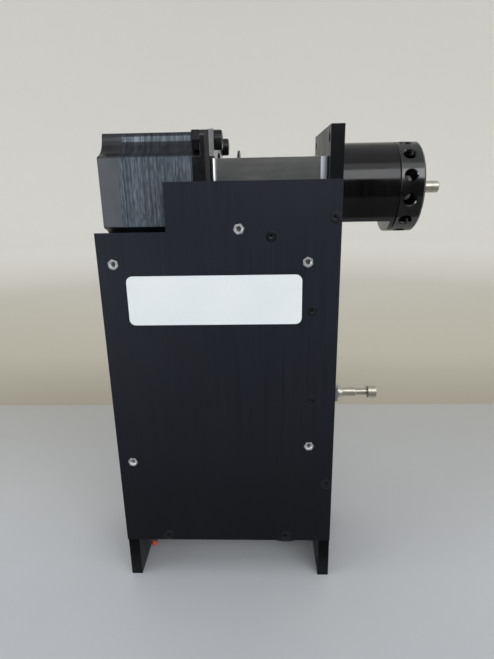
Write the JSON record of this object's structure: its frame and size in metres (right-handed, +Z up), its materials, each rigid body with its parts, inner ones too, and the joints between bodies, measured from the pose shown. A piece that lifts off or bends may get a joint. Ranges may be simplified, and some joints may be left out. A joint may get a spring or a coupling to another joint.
{
  "type": "syringe pump",
  "caption": "Bench syringe pump module: black plate case, rotary multi-port valve and its stepping motor on top, and a belt-driven plunger stage with a stud in front.",
  "frame": {"origin": "middle of the outer box, on the surface the pump stands on", "axes": "+X to the front, where valve and plunger stud stand out; -Y towards the labelled cover; +Z up"},
  "size_m": [0.1756, 0.07, 0.254],
  "materials": {
    "black_anodised": "black anodised, fine vertical brushing, satin",
    "raw_edge_black": "black anodised, satin",
    "label_stock": "satin white label stock, no print",
    "bright_steel": "bright machined",
    "bracket_steel": "satin sheet steel",
    "ground_steel": "ground",
    "black_screws": "black oxide",
    "cover_screws_black": "black oxide, flush heads",
    "plated_steel": "zinc plated, semi-bright",
    "motor_grey": "satin dark grey cast alloy",
    "motor_black": "satin black cast alloy",
    "lamination": "stacked steel laminations under thin dark paint",
    "isolator_rubber": "matt",
    "belt_rubber": "matt",
    "valve_black": "black anodised, satin turned",
    "ring_black": "black anodised, finely turned",
    "valve_rotor_plastic": "plain fluoropolymer",
    "bearing_bronze": "oiled bronze",
    "carriage_alloy": "clear anodised",
    "coupling_alloy": "clear anodised",
    "pulley_black": "hard black anodised",
    "encoder_black": "etched black disc",
    "board_green": "solder mask",
    "chip_black": "moulded",
    "header_ivory": "moulded",
    "can_blue": "sleeved cans",
    "sink_black": "black anodised fins",
    "connector_shell": "tinned shell",
    "sensor_black": "moulded",
    "lamp_red": "red lens",
    "holder_grey": "moulded grey"
  },
  "bodies": {
    "case": {"base_plate": "raw_edge_black", "bearing_bar": "raw_edge_black", "blank_label": "label_stock", "board_capacitors": "can_blue", "board_chips": "chip_black", "board_headers": "header_ivory", "board_screws": "bright_steel", "controller_board": "board_green", "cover_screws": "cover_screws_black", "cover_standoffs": "plated_steel", "data_connector": "connector_shell", "drive_motor_bells": "motor_black", "drive_motor_screws": "bright_steel", "drive_motor_stack": "lamination", "driver_heat_sink": "sink_black", "encoder_board": "board_green", "encoder_sensor": "sensor_black", "far_side_cover": "black_anodised", "frame_screws": "black_screws", "front_panel": "raw_edge_black", "guide_rods": "ground_steel", "home_sensor": "sensor_black", "lamp_holder": "holder_grey", "lead_screw_bearings": "ground_steel", "lower_cross_bar": "raw_edge_black", "motor_isolator_pad": "isolator_rubber", "motor_shim": "bright_steel", "port_ring": "ring_black", "rear_foot": "raw_edge_black", "rear_panel": "black_anodised", "side_cover": "black_anodised", "status_lamp": "lamp_red", "timing_belt": "belt_rubber", "valve_bearing": "ground_steel", "valve_body": "valve_black", "valve_bracket": "bracket_steel", "valve_deck": "raw_edge_black", "valve_motor_bearings": "ground_steel", "valve_motor_front_bell": "motor_black", "valve_motor_nuts": "black_screws", "valve_motor_rear_bell": "motor_grey", "valve_motor_screws": "black_screws", "valve_motor_stack": "lamination", "valve_motor_tie_screws": "bright_steel", "valve_screws": "bright_steel"},
    "plunger": {"carriage": "carriage_alloy", "lead_nut": "bearing_bronze", "carriage_bushes": "bearing_bronze", "home_flag": "encoder_black", "carriage_screws": "bright_steel", "plunger_stud": "bright_steel"},
    "lead_screw_set": {"lead_screw": "ground_steel", "driven_pulley": "pulley_black"},
    "drive_rotor": {"drive_motor_rotor": "ground_steel", "drive_pulley": "carriage_alloy"},
    "valve_rotation": {"valve_motor_rotor": "ground_steel", "encoder_disc": "encoder_black", "shaft_coupling": "coupling_alloy", "valve_shaft": "bright_steel", "valve_rotor": "valve_rotor_plastic"}
  },
  "joints": [
    {"name": "lead_screw_spin", "type": "hinge", "parent": "case", "child": "lead_screw_set", "pos_m": [0.00715, 0, 0.1], "axis": [0, 0, 1], "range_deg": [0, 4320]},
    {"name": "plunger_slide", "type": "slide", "parent": "case", "child": "plunger", "axis": [0, 0, 1], "range_m": [-0.06, 0]},
    {"name": "drive_spin", "type": "hinge", "parent": "case", "child": "drive_rotor", "pos_m": [-0.04785, 0, 0.05], "axis": [0, 0, 1], "range_deg": [0, 8640]},
    {"name": "valve_spin", "type": "hinge", "parent": "case", "child": "valve_rotation", "pos_m": [0, 0, 0.2253], "axis": [1, 0, 0], "continuous": true}
  ],
  "couplings": [
    {"joint": "plunger_slide", "follows": "lead_screw_spin", "m_per_rad": -0.00079577},
    {"joint": "drive_spin", "follows": "lead_screw_spin", "ratio": 2}
  ]
}
